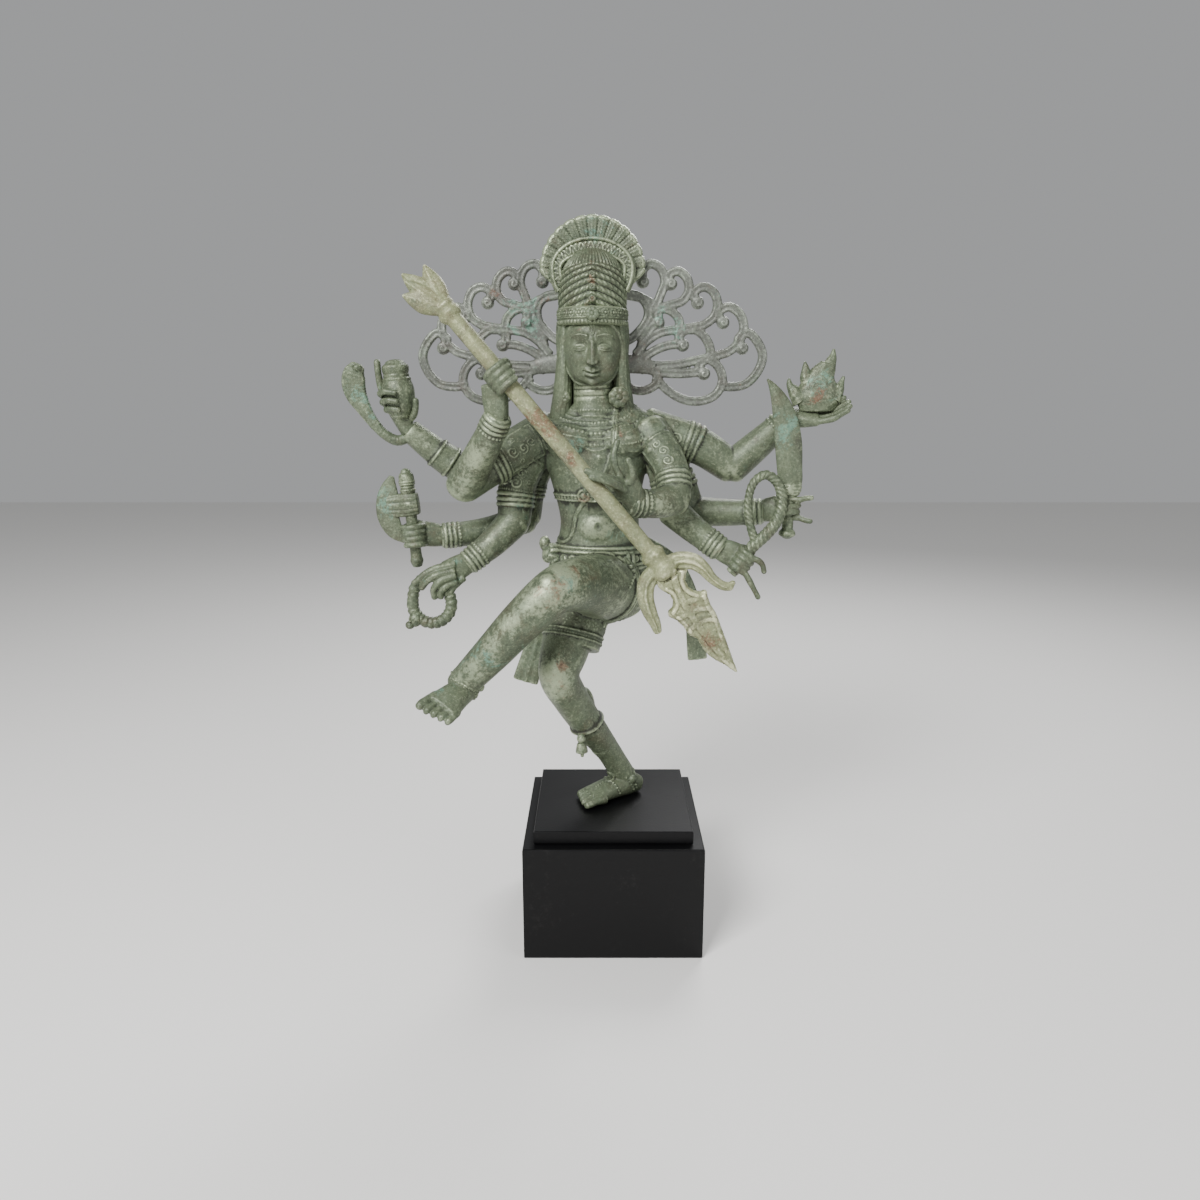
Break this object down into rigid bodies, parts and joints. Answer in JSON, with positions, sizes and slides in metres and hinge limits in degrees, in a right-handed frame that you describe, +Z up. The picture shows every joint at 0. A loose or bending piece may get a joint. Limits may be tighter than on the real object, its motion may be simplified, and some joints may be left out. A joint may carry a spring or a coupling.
{
  "type": "dancing shiva figure on a plinth",
  "caption": "Dancing Shiva in dark bronze with many arms, one leg raised, a curled halo and a trident laid across the body, on a black square plinth.",
  "frame": {"origin": "centre of the plinth's underside", "axes": "+Z up, the figure faces -Y, +X to the right as seen from the front"},
  "size_m": [0.4851, 0.2313, 0.7363],
  "materials": {
    "bronze": "worn patina",
    "trident_bronze": "worn patina, paler",
    "plinth_black": "satin black lacquer"
  },
  "bodies": {
    "root": {"figure": "bronze", "trident": "trident_bronze", "plinth_block": "plinth_black", "plinth_slab": "plinth_black"}
  },
  "joints": []
}
